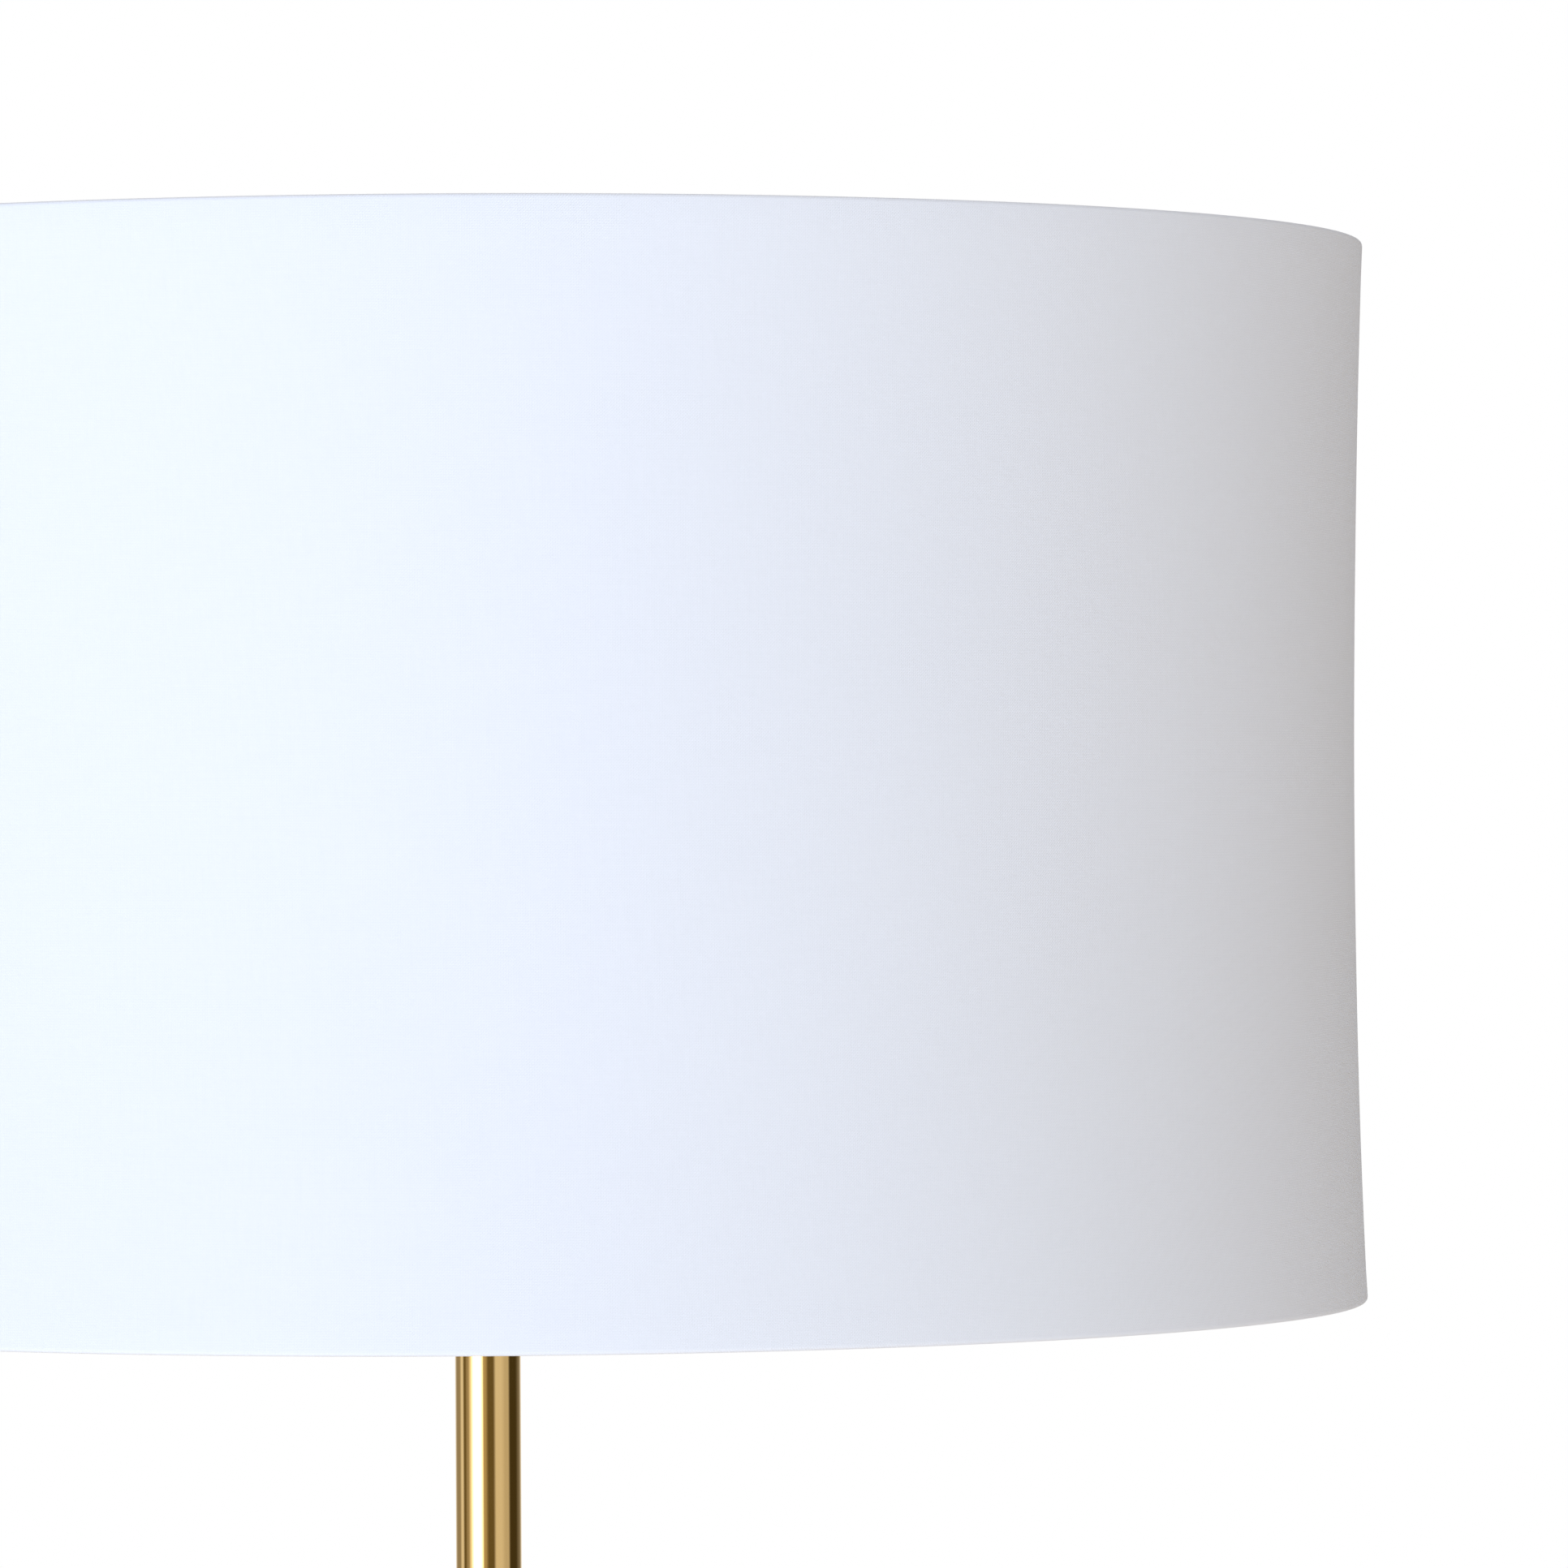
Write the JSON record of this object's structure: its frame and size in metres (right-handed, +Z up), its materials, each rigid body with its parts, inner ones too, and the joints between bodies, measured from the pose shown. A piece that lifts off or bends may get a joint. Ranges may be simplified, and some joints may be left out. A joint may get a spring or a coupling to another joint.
{
  "type": "arc floor lamp",
  "caption": "Floor lamp with a white fabric drum shade on an upright brass neck that sweeps down in one arc to an offset weighted round base.",
  "frame": {"origin": "centre of the base's underside, on the floor", "axes": "+Z up; +X from the base towards the shade; +Y to the back, where the cord gland is"},
  "size_m": [0.8455, 0.508, 1.6075],
  "materials": {
    "polished_brass": "mirror polished",
    "plain_brass": "satin",
    "cast_iron": "rough cast",
    "zinc_steel": "zinc plated",
    "felt": "pressed felt",
    "shade_cloth": "finely woven cloth",
    "liner_film": "matte film",
    "frosted_glass": "frosted",
    "aluminium": "rolled",
    "black_resin": "moulded",
    "insulating_card": "plain",
    "cord_insulation": "translucent gold"
  },
  "bodies": {
    "lamp": {"base_felt_pad": "felt", "base_weight": "cast_iron", "base_cover": "polished_brass", "cord_gland": "black_resin", "base_washer": "zinc_steel", "base_lock_nut": "zinc_steel", "base_threaded_stem": "zinc_steel", "foot_flange": "polished_brass", "pole_foot": "polished_brass", "foot_set_screw": "zinc_steel", "pole_lower": "polished_brass", "pole_middle": "polished_brass", "pole_upper": "polished_brass", "lower_coupling_ring": "polished_brass", "upper_coupling_ring": "polished_brass", "lower_coupling_stud": "zinc_steel", "upper_coupling_stud": "zinc_steel", "pole_cap": "polished_brass", "neck_nipple": "zinc_steel", "neck_lock_nut": "zinc_steel", "harp_saddle": "plain_brass", "harp": "plain_brass", "harp_top_stud": "plain_brass", "socket_cap": "plain_brass", "socket_shell": "plain_brass", "socket_insulating_sleeve": "insulating_card", "socket_body": "black_resin", "socket_screw_shell": "aluminium", "socket_center_contact": "plain_brass", "terminal_screw_hot": "plain_brass", "terminal_screw_neutral": "plain_brass", "bulb_glass": "frosted_glass", "bulb_screw_cap": "aluminium", "bulb_insulator": "black_resin", "bulb_tip_contact": "aluminium", "lamp_cord_inside": "cord_insulation", "lead_hot": "cord_insulation", "lead_neutral": "cord_insulation"},
    "shade": {"shade_fabric": "shade_cloth", "shade_liner": "liner_film", "shade_top_ring": "zinc_steel", "shade_bottom_ring": "zinc_steel", "spider_hub": "plain_brass", "spider_arm_1": "plain_brass", "spider_arm_2": "plain_brass", "spider_arm_3": "plain_brass"},
    "finial": {"finial": "polished_brass"},
    "switch": {"switch_shaft": "plain_brass", "switch_knob": "black_resin"},
    "sleeve_left": {"harp_sleeve_left": "plain_brass"},
    "sleeve_right": {"harp_sleeve_right": "plain_brass"}
  },
  "joints": [
    {"name": "shade_swivel", "type": "hinge", "parent": "lamp", "child": "shade", "pos_m": [0.44154, 0, 1.5855], "axis": [0, 0, 1], "continuous": true},
    {"name": "finial_turn", "type": "hinge", "parent": "lamp", "child": "finial", "pos_m": [0.44154, 0, 1.592], "axis": [0, 0, 1], "continuous": true},
    {"name": "switch_turn", "type": "hinge", "parent": "lamp", "child": "switch", "pos_m": [0.44154, -0.03, 1.372], "axis": [0, -1, 0], "continuous": true},
    {"name": "sleeve_left_lift", "type": "slide", "parent": "lamp", "child": "sleeve_left", "axis": [0, 0, 1], "range_m": [0, 0.012]},
    {"name": "sleeve_right_lift", "type": "slide", "parent": "lamp", "child": "sleeve_right", "axis": [0, 0, 1], "range_m": [0, 0.012]}
  ]
}
